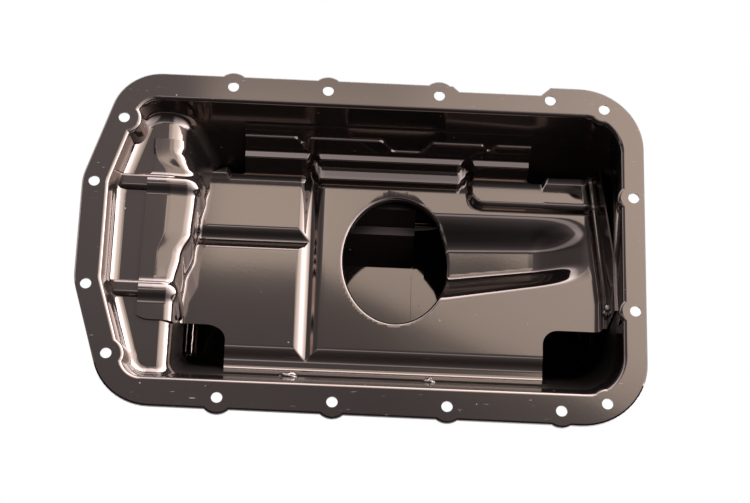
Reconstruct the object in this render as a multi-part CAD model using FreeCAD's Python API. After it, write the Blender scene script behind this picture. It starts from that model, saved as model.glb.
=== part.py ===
import FreeCAD, Part
import math
import os

# Engine oil pan pressed from sheet steel, with a welded windage baffle and a drain plug.
# Millimetres. The shapes are drawn with the gasket flange's face at z = 0, +Z up to the engine and
# +X to the deep end, and are moved at the end so that the origin is the middle of the base.

Vector = FreeCAD.Vector
UP = Vector(0, 0, 1)
ALONG_X = Vector(1, 0, 0)
ALONG_Y = Vector(0, 1, 0)

# Sheets
pan_sheet = 1.5
baffle_sheet = 1.2
fit_gap = 0.3

# Flange outline: distance of each side from the centre, and the corner radii
flange_right = 214.5
flange_left = 215.3
flange_back = 135.3
flange_front = 136.2
flange_front_turn = 0.4
flange_right_end_back = 137.6
chamfer_angle = 17.0
chamfer_start_back = 45.0
chamfer_start_front = -39.0
flange_corner_right = 50.0
flange_corner_back_left = 39.0
flange_corner_front_left = 44.0
flange_corner_blunt = 40.0
flange_lip = 3.6
flange_edge_round = 1.1
flange_bend = 3.0
mouth_depth = 12.0
step_in_from = 71.0
step_in_to = 135.0
step_in_depth = 4.6
step_in_slant = 5.0

# Bolt holes, and the round ears about those of the two long rows
hole_radius = 4.2
ear_radius = 12.4
back_row_y = 126.0
back_row_first_x = -31.0
back_row_pitch = 86.5
back_row_count = 3
back_row_left_x = -104.5
front_row_y = -127.0
front_row_first_x = -103.7
front_row_pitch = 84.6
front_row_count = 4
right_corner_x = 184.1
right_corner_y = 120.1
right_side_x = 206.0
right_side_y = 46.2
left_corner_x = -187.0
left_corner_y = 96.0
left_side_x = -206.0
left_side_y = 41.8

# Walls of the hollow: distance of each side at the flange, and its slope inward for each mm down
wall_right = 196.4
wall_back = 113.3
wall_front = 113.2
wall_left = 195.2
wall_chamfer_start_back = 43.0
wall_chamfer_start_front = -37.0
slope_right = 0.012
slope_back = 0.24
slope_front = 0.44
slope_left = 0.25
slope_chamfer_front = 0.30
wall_corner_right = 28.0
wall_corner_back_left = 18.0
wall_corner_front_left = 16.0
wall_corner_blunt = 24.0
wall_run_out = 6.0

# Depths below the flange
shelf_depth = 20.0
plate_depth = 80.0
pan_depth = 148.0
foot_round = 9.0
sump_slope_round = 14.0

# Slope from the shelf down to the sump: end of the pan, top, foot at the plate, roll radius
slope_ends = 130.0
slope_back_top = -140.0
slope_back_foot = -112.0
slope_back_roll = 22.0
slope_mid_top = -141.0
slope_mid_foot = -139.5
slope_mid_roll = 11.0
slope_front_top = -141.5
slope_front_foot = -140.5
slope_front_roll = 9.0

# Wall bulges that leave room for the bolt heads
bulge_radius = 13.0
bulge_depth = 30.0
bulge_growth = 0.25
bulge_shrink = 0.10

# Raised beads across the shelf
bead_height = 4.0
bead_width = 13.0
bead_round = 3.4
bead_left = -189.0
bead_back_y = 51.0
bead_back_right = -121.0
bead_front_y = -37.0
bead_front_right = -134.0

# Pressed step on the back wall of the sump and the bead on its floor
step_left = -42.0
step_right = 44.0
step_top_depth = 93.0
step_top_y = 68.0
step_ledge_depth = 112.0
step_ledge_width = 7.0
step_slope = 0.40
floor_bead_x = 49.0
floor_bead_width = 10.0
floor_bead_length = 76.0
floor_bead_height = 3.0
floor_bead_round = 4.5

# Drain in the right wall
drain_y = 8.0
drain_depth = 121.0
drain_pad_radius = 17.0
drain_pad_rise = 2.0
drain_hole_radius = 8.2
nut_radius = 14.0
nut_length = 9.0
plug_radius = 7.0
plug_clearance = 0.3
plug_reach = 6.0
plug_head_across = 19.0
plug_head_height = 7.0
plug_collar_radius = 13.0
plug_collar_height = 3.0
plug_chamfer = 1.2
washer_radius = 12.0
washer_thickness = 1.5

# Baffle rim heights, tab on the shelf and corner cut-outs
rim_back_depth = 17.5
rim_front_depth = 46.0
rim_right_depth = 30.0
rim_right_fall = 0.18
tab_edge_back_x = -162.0
tab_edge_front_x = -167.5
tab_back_y = 82.0
tab_front_y = -61.5
tab_corner = 6.0
plate_round = 6.0
slope_foot_round = 8.0
right_lean_x = 185.0
right_lean_y = 75.0
right_lean_angle = 6.5
right_lean_slope = 0.12
cut_back_left_x = -94.5
cut_back_left_y = 88.0
cut_back_right_x = 131.0
cut_back_right_y = 87.0
cut_front_left_x = -102.5
cut_front_left_y = -41.5
cut_front_right_x = 145.0
cut_front_right_y = -35.0
cut_round = 12.0
cut_round_small = 2.5

# Stepped ledges up the baffle's back wall: depth and distance in from the wall
ledge_one_depth = 39.0
ledge_one_inset = 1.5
ledge_two_depth = 59.5
ledge_two_inset = 6.0
ledge_three_depth = 71.0
ledge_three_inset = 12.0
ledges_left = -110.0
ledges_right = 145.0
notch_depth = 12.0
notch_centre_x = 33.0
notch_top_width = 39.0
notch_foot_width = 23.0
small_notch_depth = 7.0
small_notch_width = 10.0
small_notch_foot_width = 3.4
small_notch_left_x = -49.0
small_notch_right_x = 98.0
gap_left_x = -40.6
gap_left_width = 9.0
gap_right_x = 82.3
gap_right_width = 8.0

# Grooves, raised corner panel, trough and suction hole of the baffle
groove_depth = 4.0
groove_top_width = 13.0
groove_foot_width = 6.0
groove_clear = 0.5
groove_margin = 4.0
groove_x = -41.2
cross_groove_y = 33.0
cross_groove_start = 16.0
front_groove_y = -60.5
front_groove_width = 15.0
panel_left_x = 84.0
panel_front_y = 65.0
panel_rise = 5.0
panel_corner = 14.0
panel_draft = 1.5
hole_centre_x = 29.2
hole_centre_y = 18.8
hole_half_x = 43.0
hole_half_y = 52.5
hole_lip = 5.0
trough_left_x = 40.0
trough_right_x = 177.0
trough_front_left_y = -16.5
trough_front_right_y = 8.5
trough_back_left_y = 52.0
trough_back_right_y = 54.0
trough_depth = 15.0
trough_front_run = 25.5
trough_back_run = 5.0
trough_end_run = 10.0
trough_corner_front = 5.0
trough_corner_back = 33.0
trough_end_rise = 6.0
trough_taper = 0.42

# Weld spots that hold the baffle
weld_radius = 2.4
weld_length = 6.0
weld_front_x = (-52.5, -43.5, 52.5)
weld_right_y = -24.0

# How far cutting bodies reach past what they cut, and what counts as touching and as level
over = 10.0
far = 240.0
contact = 0.001
level_normal = 0.98


def turned(angle):
    """Cosine and sine of an angle in degrees."""
    return math.cos(math.radians(angle)), math.sin(math.radians(angle))


def crossing(one, two):
    """Point where two plan lines meet; a line is its outward direction and its distance."""
    spread = one[0] * two[1] - one[1] * two[0]
    x = (one[2] * two[1] - two[2] * one[1]) / spread
    y = (one[0] * two[2] - two[0] * one[2]) / spread
    return Vector(x, y, 0)


def corner_arc(corner, before, after, radius):
    """Start, middle and end of the arc that rounds a corner."""
    to_before = (before - corner).normalize()
    to_after = (after - corner).normalize()
    half = to_before.getAngle(to_after) / 2
    reach = radius / math.tan(half)
    inward = (to_before + to_after).normalize()
    centre = corner + inward * (radius / math.sin(half))
    return corner + to_before * reach, centre - inward * radius, corner + to_after * reach


def rounded_wire(corners, radii):
    """Closed wire through the corners, each rounded by its own radius where that is not zero."""
    count = len(corners)
    arcs = []
    for i, radius in enumerate(radii):
        after = corners[(i + 1) % count]
        if radius > 0:
            arcs.append(corner_arc(corners[i], corners[i - 1], after, radius))
        else:
            arcs.append((corners[i], None, corners[i]))
    edges = []
    for i, (start, middle, end) in enumerate(arcs):
        if middle is not None:
            edges.append(Part.Arc(start, middle, end).toShape())
        edges.append(Part.LineSegment(end, arcs[(i + 1) % count][0]).toShape())
    return Part.Wire(edges)


def prism(corners, radii, direction):
    """Solid made by pulling a rounded outline along a direction."""
    return Part.Face(rounded_wire(corners, radii)).extrude(direction)


def block(x_low, x_high, y_low, y_high, z_low, z_high):
    """Box between two corners."""
    size = Vector(x_high - x_low, y_high - y_low, z_high - z_low)
    return Part.makeBox(size.x, size.y, size.z, Vector(x_low, y_low, z_low))


def row_centres():
    """Plan positions of the bolt holes in the two long rows."""
    centres = [Vector(back_row_left_x, back_row_y, 0)]
    for i in range(front_row_count):
        centres.append(Vector(front_row_first_x + i * front_row_pitch, front_row_y, 0))
    for i in range(back_row_count):
        centres.append(Vector(back_row_first_x + i * back_row_pitch, back_row_y, 0))
    return centres


def hole_centres():
    """Plan positions of all the bolt holes."""
    centres = row_centres()
    for side in (1, -1):
        centres.append(Vector(right_corner_x, side * right_corner_y, 0))
        centres.append(Vector(right_side_x, side * right_side_y, 0))
        centres.append(Vector(left_corner_x, side * left_corner_y, 0))
        centres.append(Vector(left_side_x, side * left_side_y, 0))
    return centres


def slanted_side(start_x, start_y, side):
    """Outward direction and distance of a slanted side at the left end, from where it starts."""
    across, along = turned(chamfer_angle)
    return -across, side * along, -across * start_x + side * along * start_y


def flange_plan(inset):
    """Outline of the flange without its ears, drawn in by an inset."""
    along, across = turned(flange_front_turn)
    sides = [
        (1, 0, flange_right - inset),
        (0, 1, flange_back - inset),
        slanted_side(-flange_left, chamfer_start_back, 1),
        (-1, 0, flange_left - inset),
        slanted_side(-flange_left, chamfer_start_front, -1),
        (-across, -along, flange_front - inset),
    ]
    for i in (2, 4):
        sides[i] = (sides[i][0], sides[i][1], sides[i][2] - inset)
    radii = [flange_corner_right, flange_corner_back_left, flange_corner_blunt]
    radii += [flange_corner_blunt, flange_corner_front_left, flange_corner_right]
    corners = [crossing(sides[i], sides[(i + 1) % 6]) for i in range(6)]
    return rounded_wire(corners, [radius - inset for radius in radii])


def flange_blank(inset, top, bottom):
    """Flange plate with its ears and its stepped-in back edge."""
    down = Vector(0, 0, bottom - top)
    blank = Part.Face(flange_plan(inset)).extrude(down)
    ears = []
    for centre in row_centres()[:-1]:
        ears.append(Part.makeCylinder(ear_radius - inset, -down.z, centre, -UP))
    edge = flange_right_end_back - inset
    centre_x = flange_right - flange_corner_right
    start = Vector(step_in_to + step_in_slant + inset, edge, 0)
    right_end = [start, Vector(flange_right - inset, edge, 0)]
    right_end += [Vector(flange_right - inset, 0, 0), Vector(start.x, 0, 0)]
    right_block = prism(right_end, [0, flange_corner_right - inset, 0, 0], down)
    inner = flange_back - step_in_depth - inset
    outer = flange_back + over
    slant = step_in_slant * (outer - inner) / step_in_depth
    notch = [Vector(step_in_from - inset, inner, 0), Vector(step_in_to + inset, inner, 0)]
    notch += [Vector(step_in_to + slant + inset, outer, 0), Vector(step_in_from - slant - inset, outer, 0)]
    blank = blank.fuse([right_block] + ears).cut(prism(notch, [0] * 4, down))
    blank = blank.removeSplitter().Solids[0]
    blank.translate(Vector(0, 0, top))
    return blank


def wall_sides():
    """Sides of the hollow: direction and distance at the flange, slope, radius of the next corner."""
    back = slanted_side(-wall_left, wall_chamfer_start_back, 1)
    front = slanted_side(-wall_left, wall_chamfer_start_front, -1)
    return [
        ((1, 0, wall_right), slope_right, wall_corner_right),
        ((0, 1, wall_back), slope_back, wall_corner_back_left),
        (back, slope_left, wall_corner_blunt),
        ((-1, 0, wall_left), slope_left, wall_corner_blunt),
        (front, slope_chamfer_front, wall_corner_front_left),
        ((0, -1, wall_front), slope_front, wall_corner_right),
    ]


def wall_corners(level, swell):
    """Sharp corners of the hollow at a level, its sheet offset outward by a swell."""
    lines = []
    for (x, y, distance), slope, radius in wall_sides():
        lines.append((x, y, distance + slope * level + swell * math.hypot(1, slope)))
    return [crossing(lines[i], lines[(i + 1) % 6]) + UP * level for i in range(6)]


def wall_body(swell):
    """Everything inside the sloping side walls, with rounded corners."""
    high = wall_corners(over / 2, swell)
    low = wall_corners(-pan_depth - wall_run_out, swell)
    outlines = [high, low] + [[high[i], high[i - 1], low[i - 1], low[i]] for i in range(6)]
    faces = [Part.Face(Part.makePolygon(points + points[:1])) for points in outlines]
    body = Part.Solid(Part.Shell(faces))
    if body.Volume < 0:
        body.reverse()
    for i, (line, slope, radius) in enumerate(wall_sides()):
        middle = Part.Vertex((high[i] + low[i]) / 2)
        edge = min(body.Edges, key=lambda candidate: candidate.distToShape(middle)[0])
        body = body.makeFillet(radius + swell, [edge])
    return body


def slope_station(y, top_x, foot_x, roll, ends, swell, floor_depth, foot_radius):
    """Lengthwise section through shelf, roll, slope and floor at one place across the pan."""
    lean = (foot_x - top_x) / (plate_depth - shelf_depth)
    start = top_x - swell * math.hypot(1, lean)
    shelf_level = -shelf_depth - swell
    floor_level = -floor_depth - swell
    brow = Vector(start + swell * lean, y, shelf_level)
    foot = Vector(start + (-shelf_depth - floor_level) * lean, y, floor_level)
    corners = [brow, foot, Vector(ends[1], y, floor_level), Vector(ends[1], y, over)]
    corners += [Vector(ends[0], y, over), Vector(ends[0], y, shelf_level)]
    return rounded_wire(corners, [roll - swell, foot_radius + swell, 0, 0, 0, 0])


def floor_body(swell, floor_depth, foot_radius):
    """Everything above the shelf, the slope and a floor."""
    stations = [
        (slope_ends, slope_back_top, slope_back_foot, slope_back_roll),
        (0, slope_mid_top, slope_mid_foot, slope_mid_roll),
        (-slope_ends, slope_front_top, slope_front_foot, slope_front_roll),
    ]
    steepest = max(foot - top for y, top, foot, roll in stations) / (plate_depth - shelf_depth)
    left = min(top - roll for y, top, foot, roll in stations) - over / 2
    right = max(top for y, top, foot, roll in stations)
    right += steepest * (floor_depth - shelf_depth) + foot_radius + over
    wires = []
    for station in stations:
        wires.append(slope_station(*station, (left, right), swell, floor_depth, foot_radius))
    shelf = block(-far, left, -slope_ends, slope_ends, -shelf_depth - swell, over)
    floor = block(right, far, -slope_ends, slope_ends, -floor_depth - swell, over)
    return Part.makeLoft(wires, True, True).fuse([shelf, floor])


def steep(face):
    """True for a side face, false for a lid."""
    u_low, u_high, v_low, v_high = face.ParameterRange
    return abs(face.normalAt((u_low + u_high) / 2, (v_low + v_high) / 2).z) < level_normal


def edges_on_both(shape, one_group, other_group):
    """Edges of a shape that lie on both groups of faces."""
    one = Part.Compound(one_group)
    other = Part.Compound(other_group)
    chosen = []
    for edge in shape.Edges:
        middle = Part.Vertex(edge.valueAt((edge.FirstParameter + edge.LastParameter) / 2))
        if one.distToShape(middle)[0] < contact and other.distToShape(middle)[0] < contact:
            chosen.append(edge)
    return chosen


def tub(walls, floor, edge_radius):
    """Hollow between side walls and a floor, rounded where they meet."""
    hollow = walls.common(floor).Solids[0]
    side_faces = [face for face in walls.Faces if steep(face)]
    return hollow.makeFillet(edge_radius, edges_on_both(hollow, side_faces, floor_faces(floor)))


def floor_faces(body):
    """Faces of a floor body below the flange: shelf, roll, slope, foot and floor."""
    return [face for face in body.Faces if face.BoundBox.ZMax < over / 2]


def bead_ridge(y, left, right, swell):
    """Raised bead that follows the shelf and the slope, to be taken out of the hollow."""
    half = bead_width / 2 - swell
    foot = over - plate_depth + swell
    bar = block(left + swell, right - swell, y - half, y + half, foot, over / 2)
    raised = floor_body(swell - bead_height, pan_depth, sump_slope_round)
    ridge = bar.cut(raised).Solids[0]
    return ridge.makeFillet(bead_round - swell, edges_on_both(ridge, bar.Faces, floor_faces(raised)))


def bolt_bulges(swell):
    """Cones about the corner and side bolts, to be taken out of the hollow."""
    cones = []
    radius = bulge_radius - swell
    left_foot = radius + bulge_growth * bulge_depth
    right_foot = radius - bulge_shrink * bulge_depth
    for side in (1, -1):
        places = [(left_corner_x, left_corner_y, left_foot)]
        places += [(right_corner_x, right_corner_y, right_foot), (right_side_x, right_side_y, right_foot)]
        for x, y, foot_radius in places:
            top = Vector(x, side * y, over)
            cones.append(Part.makeCylinder(radius, over, top, -UP))
            cones.append(Part.makeCone(radius, foot_radius, bulge_depth, Vector(x, side * y, 0), -UP))
    return cones


def sump_step(swell):
    """Pressed step on the back wall of the sump, to be taken out of the hollow."""
    drop = step_ledge_depth - step_top_depth
    ledge_back = step_top_y - drop * step_slope
    ledge_front = ledge_back - step_ledge_width
    foot = ledge_front - (pan_depth - step_ledge_depth + over) * step_slope
    section = [(step_top_y, -step_top_depth), (ledge_back, -step_ledge_depth)]
    section += [(ledge_front, -step_ledge_depth), (foot, -pan_depth - over)]
    section += [(wall_back, -pan_depth - over), (wall_back, -step_top_depth)]
    corners = [Vector(step_left + swell, y + swell, z - swell) for y, z in section]
    return prism(corners, [0] * len(corners), ALONG_X * (step_right - step_left - 2 * swell))


def floor_bead(swell):
    """Low bead across the sump floor, to be taken out of the hollow."""
    half = floor_bead_width / 2 - swell
    level = -pan_depth - over
    corners = [Vector(floor_bead_x + x, y, level) for x, y in (
        (-half, -floor_bead_length / 2 + swell), (half, -floor_bead_length / 2 + swell),
        (half, floor_bead_length / 2 - swell), (-half, floor_bead_length / 2 - swell))]
    return prism(corners, [floor_bead_round - swell] * 4, UP * (over + floor_bead_height - swell))


def drain_face_x():
    """Inner face of the flat pad round the drain."""
    return wall_right - slope_right * drain_depth + drain_pad_rise


def drain_pad(swell):
    """Flat round pad pressed outward in the right wall."""
    length = drain_face_x() + swell - panel_left_x
    start = Vector(panel_left_x, drain_y, -drain_depth)
    return Part.makeCylinder(drain_pad_radius + swell, length, start, ALONG_X)


def pan_hollow(swell):
    """Whole inside of the pan, offset outward by a swell."""
    floor = floor_body(swell, pan_depth, sump_slope_round)
    hollow = tub(wall_body(swell), floor, foot_round + swell)
    ridges = [bead_ridge(bead_back_y, bead_left, bead_back_right, swell)]
    ridges.append(bead_ridge(bead_front_y, bead_left, bead_front_right, swell))
    hollow = hollow.cut(bolt_bulges(swell) + ridges + [sump_step(swell), floor_bead(swell)])
    return hollow.fuse(drain_pad(swell))


def mouth_ring():
    """Flange and the top of the walls, with the bend between them."""
    flange = flange_blank(0, 0, -flange_lip)
    rim = [edge for edge in flange.Edges if edge.BoundBox.ZMin > -contact]
    flange = flange.makeChamfer(flange_edge_round, rim)
    flange = flange.cut(flange_blank(pan_sheet, -pan_sheet, -flange_lip - over))
    layer = block(-far, far, -far, far, -mouth_depth, -pan_sheet / 2)
    walls = wall_body(pan_sheet).cut(bolt_bulges(pan_sheet)).common(layer)
    ring = flange.fuse(walls).cut(wall_body(0).cut(bolt_bulges(0)))
    level_faces = [face for face in ring.Faces if face.BoundBox.ZMin > -contact]
    gasket_face = max(level_faces, key=lambda face: face.Area)
    outer_edge = gasket_face.OuterWire
    mouth = [edge for wire in gasket_face.Wires if not wire.isSame(outer_edge) for edge in wire.Edges]
    return ring.makeFillet(flange_bend, mouth)


def pan_shell():
    """Pressed pan with its flange, holes and turned-down lip."""
    lower = block(-far, far, -far, far, -pan_depth - over, -mouth_depth)
    shell = pan_hollow(pan_sheet).cut(pan_hollow(0)).common(lower)
    shell = shell.fuse(mouth_ring()).removeSplitter()
    start = Vector(drain_face_x() - over, drain_y, -drain_depth)
    holes = [Part.makeCylinder(drain_hole_radius, 2 * over, start, ALONG_X)]
    for centre in hole_centres():
        holes.append(Part.makeCylinder(hole_radius, 2 * over, centre + UP * over, -UP))
    return shell.cut(holes).Solids[0]


def reach_at(distance, slope, level, swell):
    """Distance of a sloping side at a level, offset outward by a swell."""
    return distance + slope * level + swell * math.hypot(1, slope)


def baffle_room(swell):
    """Straight-sided space above the baffle's plate, rounded along the foot of its upstands."""
    fit = fit_gap + baffle_sheet
    low = -plate_depth - swell
    section = [(reach_at(wall_back, slope_back, z, swell - fit), z) for z in (over, low)]
    section += [(-reach_at(wall_front, slope_front, z, swell - fit), z) for z in (low, over)]
    room = prism([Vector(-far, y, z) for y, z in section], [0] * 4, ALONG_X * 2 * far)
    section = [(reach_at(wall_right, slope_right, z, swell - fit), z) for z in (over, low - over)]
    section += [(-2 * far, low - over), (-2 * far, over)]
    right = prism([Vector(x, -far, z) for x, z in section], [0] * 4, ALONG_Y * 2 * far)
    section = []
    for z in (over, low - over):
        section.append((reach_at(right_lean_x, right_lean_slope, z + plate_depth, swell), z))
    section += [(-2 * far, low - over), (-2 * far, over)]
    lean = prism([Vector(x, -2 * far, z) for x, z in section], [0] * 4, ALONG_Y * 4 * far)
    lean.rotate(Vector(right_lean_x, right_lean_y, 0), UP, right_lean_angle)
    room = room.common([right, lean]).Solids[0]
    foot = [edge for edge in room.Edges if edge.BoundBox.ZMax < low + contact]
    foot = [edge for edge in foot if edge.BoundBox.XMax > over - far]
    return room.makeFillet(plate_round + swell, foot)


def ledge(depth, inset, left, right, swell):
    """One ledge of the baffle's back wall and all below it, to be taken out of its hollow."""
    level = -depth - swell
    gap = (fit_gap + baffle_sheet - swell) * math.hypot(1, slope_back)
    front = wall_back - gap - inset + slope_back * level
    foot = front - slope_back * (pan_depth + level)
    section = [(front, level), (far, level), (far, -pan_depth), (foot, -pan_depth)]
    corners = [Vector(left + swell, y, z) for y, z in section]
    return prism(corners, [0] * 4, ALONG_X * (right - left - 2 * swell))


def notch_body(centre, top_width, foot_width, depth, swell):
    """Trapezoid notch in the top ledge, seen from the front."""
    level = -ledge_one_depth - swell
    rise = over + swell
    flare = (top_width - foot_width) / 2 / depth
    top = top_width / 2 + swell + flare * rise
    section = [(-top, level + rise), (top, level + rise), (foot_width / 2 + swell, level - depth)]
    section.append((-foot_width / 2 - swell, level - depth))
    return prism([Vector(centre + x, 0, z) for x, z in section], [0] * 4, ALONG_Y * far)


def ledges(swell):
    """All ledges of the baffle's back wall, to be taken out of its hollow."""
    top = ledge(ledge_one_depth, ledge_one_inset, ledges_left, ledges_right, swell)
    notches = [notch_body(notch_centre_x, notch_top_width, notch_foot_width, notch_depth, swell)]
    for centre in (small_notch_left_x, small_notch_right_x):
        widths = (small_notch_width, small_notch_foot_width)
        notches.append(notch_body(centre, *widths, small_notch_depth, swell))
    gaps = [gap_left_x - gap_left_width / 2, gap_left_x + gap_left_width / 2]
    gaps += [gap_right_x - gap_right_width / 2, gap_right_x + gap_right_width / 2]
    spans = [(ledges_left, gaps[0]), (gaps[1], gaps[2]), (gaps[3], ledges_right)]
    bars = [ledge(ledge_two_depth, ledge_two_inset, left, right, swell) for left, right in spans]
    bars.append(ledge(ledge_three_depth, ledge_three_inset, gaps[1], gaps[2], swell))
    return [top.cut(notches)] + bars


def corner_panel(swell):
    """Raised panel in the back right corner of the baffle, to be taken out of its hollow."""
    outlines = []
    top = panel_rise - plate_depth - swell
    for level, inset in ((-pan_depth, 0), (-plate_depth, 0), (top, panel_draft)):
        left = panel_left_x + inset + swell
        front = panel_front_y + inset + swell
        corners = [Vector(left, front, level), Vector(far, front, level)]
        corners += [Vector(far, far, level), Vector(left, far, level)]
        outlines.append(rounded_wire(corners, [panel_corner - inset - swell, 0, 0, 0]))
    return Part.makeLoft(outlines, True, True)


def groove(start, end, width, swell):
    """Groove with sloping sides pressed into the plate, from start to end, to be added to its hollow."""
    direction = (end - start).normalize()
    across = Vector(-direction.y, direction.x, 0)
    flare = (width - groove_foot_width) / 2 / groove_depth
    spread = swell * math.hypot(1, flare)
    high = width / 2 + spread + flare * groove_clear
    low = width / 2 + spread - flare * (groove_depth + swell)
    section = [(-high, groove_clear), (high, groove_clear)]
    section += [(low, -groove_depth - swell), (-low, -groove_depth - swell)]
    origin = start - direction * swell + UP * -plate_depth
    corners = [origin + across * offset + UP * height for offset, height in section]
    return prism(corners, [0] * 4, end - start + direction * 2 * swell)


def grooves(swell):
    """The three grooves of the plate."""
    foot_back = wall_back - fit_gap - baffle_sheet - slope_back * plate_depth - groove_margin
    foot_front = fit_gap + baffle_sheet + slope_front * plate_depth + groove_margin - wall_front
    lengthwise = (Vector(groove_x, foot_front, 0), Vector(groove_x, foot_back, 0))
    cross_left = Vector(slope_mid_foot + cross_groove_start, cross_groove_y, 0)
    crosswise = (cross_left, Vector(groove_x, cross_groove_y, 0))
    front_left = Vector(cut_front_left_x - over, front_groove_y, 0)
    front_right = Vector(cut_front_right_x + over, front_groove_y, 0)
    return [
        groove(*lengthwise, groove_top_width, swell),
        groove(*crosswise, groove_top_width, swell),
        groove(front_left, front_right, front_groove_width, swell),
    ]


def trough(swell):
    """Tapering trough for the suction pipe, from the hole to a rounded end, to be added to the hollow."""
    steep_front = math.hypot(1, trough_front_run / trough_depth)
    steep_back = math.hypot(1, trough_back_run / trough_depth)
    outlines = []
    for share in (-over / trough_depth, 1 + swell / trough_depth):
        front_run = trough_front_run * share - swell * steep_front
        back_run = trough_back_run * share - swell * steep_back
        right = trough_right_x - trough_end_run * share + swell
        depth_left = plate_depth + trough_depth * share
        depth_right = depth_left - max(share, 0) * trough_end_rise
        corners = [Vector(trough_left_x, trough_front_left_y + front_run, -depth_left)]
        corners.append(Vector(right, trough_front_right_y + front_run * trough_taper, -depth_right))
        corners.append(Vector(right, trough_back_right_y - back_run, -depth_right))
        corners.append(Vector(trough_left_x, trough_back_left_y - back_run, -depth_left))
        radii = [0, trough_corner_front + swell, trough_corner_back - trough_end_run * share + swell, 0]
        outlines.append(rounded_wire(corners, radii))
    return Part.makeLoft(outlines, True, True)


def oval_body(grow, top, bottom):
    """Oval cylinder in the suction hole."""
    shape = Part.Ellipse(Vector(0, 0, 0), hole_half_y + grow, hole_half_x + grow).toShape()
    shape.rotate(Vector(0, 0, 0), UP, 90)
    shape.translate(Vector(hole_centre_x, hole_centre_y, bottom))
    return Part.Face(Part.Wire(shape)).extrude(UP * (top - bottom))


def baffle_hollow(swell):
    """Space above the baffle's upper face, offset outward by a swell."""
    fit = fit_gap + baffle_sheet
    hollow = baffle_room(swell).common(floor_body(swell - fit, plate_depth + fit, slope_foot_round + fit))
    ridges = [bead_ridge(bead_back_y, bead_left, bead_back_right, swell - fit)]
    ridges.append(bead_ridge(bead_front_y, bead_left, bead_front_right, swell - fit))
    hollow = hollow.cut(ridges + ledges(swell) + [corner_panel(swell)])
    funnel = oval_body(swell, -plate_depth + groove_clear, -plate_depth - hole_lip - swell)
    return hollow.fuse(grooves(swell) + [trough(swell), funnel])


def baffle_plan():
    """Trimmed outline of the baffle from above, with its tab and its four corner cut-outs."""
    points = [
        (tab_edge_front_x, tab_front_y, tab_corner),
        (slope_front_top - slope_front_roll, tab_front_y, cut_round),
        (slope_front_top + cut_round_small, cut_front_left_y, cut_round_small),
        (cut_front_left_x, cut_front_left_y, cut_round),
        (cut_front_left_x, -far, 0),
        (cut_front_right_x, -far, 0),
        (cut_front_right_x, cut_front_right_y, cut_round),
        (far, cut_front_right_y, 0),
        (far, cut_back_right_y, 0),
        (cut_back_right_x, cut_back_right_y, cut_round_small),
        (cut_back_right_x, far, 0),
        (cut_back_left_x, far, 0),
        (cut_back_left_x, cut_back_left_y, cut_round_small),
        (slope_back_foot - cut_round, cut_back_left_y, cut_round_small),
        (slope_back_top - tab_corner, tab_back_y, tab_corner),
        (tab_edge_back_x, tab_back_y, cut_round_small),
    ]
    corners = [Vector(x, y, -pan_depth) for x, y, radius in points]
    return prism(corners, [radius for x, y, radius in points], UP * pan_depth)


def above_rim():
    """What stands above the rim of the baffle: behind, in front and at the right."""
    back = block(-far / 2, 2 * far, -far, far, -rim_back_depth, over)
    front = block(-far / 2, 2 * far, -far, front_groove_y, -rim_front_depth, over)
    fall = rim_right_fall * far
    low = cut_front_right_y
    section = [(low - far, fall), (low + far, -fall), (low + far, far), (low - far, far)]
    corners = [Vector(right_lean_x - over, y, z - rim_right_depth) for y, z in section]
    return [back, front, prism(corners, [0] * 4, ALONG_X * far)]


def weld_spots():
    """Short weld beads on the baffle's rim, flush with its outer face."""
    fit = fit_gap + baffle_sheet
    spots = []
    front_y = fit - wall_front + slope_front * rim_front_depth
    for x in weld_front_x:
        start = Vector(x - weld_length / 2, front_y, -rim_front_depth)
        spots.append(Part.makeCylinder(weld_radius, weld_length, start, ALONG_X))
    depth = rim_right_depth + rim_right_fall * (weld_right_y - cut_front_right_y)
    wall_x = wall_right - fit - slope_right * depth
    start = Vector(wall_x, weld_right_y - weld_length / 2, -depth)
    spots.append(Part.makeCylinder(weld_radius, weld_length, start, ALONG_Y))
    room = wall_body(-fit_gap)
    return [spot.common(room) for spot in spots]


def baffle_plate():
    """Pressed windage baffle that lies on the shelf and is welded to the walls."""
    sheet = baffle_hollow(baffle_sheet).cut(baffle_hollow(0)).common(baffle_plan())
    sheet = sheet.cut(above_rim() + [oval_body(0, 0, -pan_depth)])
    sheet = max(sheet.Solids, key=lambda solid: solid.Volume)
    return sheet.fuse(weld_spots()).Solids[0]


def drain_nut():
    """Round weld nut on the inside of the drain pad."""
    start = Vector(drain_face_x() - nut_length, drain_y, -drain_depth)
    nut = Part.makeCylinder(nut_radius, nut_length, start, ALONG_X)
    rim = [edge for edge in nut.Edges if edge.BoundBox.XMax < start.x + contact]
    nut = nut.makeChamfer(plug_chamfer, rim)
    bore = Part.makeCylinder(plug_radius + plug_clearance, nut_length, start, ALONG_X)
    return nut.cut(bore)


def drain_washer():
    """Flat sealing washer under the plug's collar."""
    start = Vector(drain_face_x() + pan_sheet, drain_y, -drain_depth)
    washer = Part.makeCylinder(washer_radius, washer_thickness, start, ALONG_X)
    return washer.cut(Part.makeCylinder(plug_radius + plug_clearance, washer_thickness, start, ALONG_X))


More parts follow.
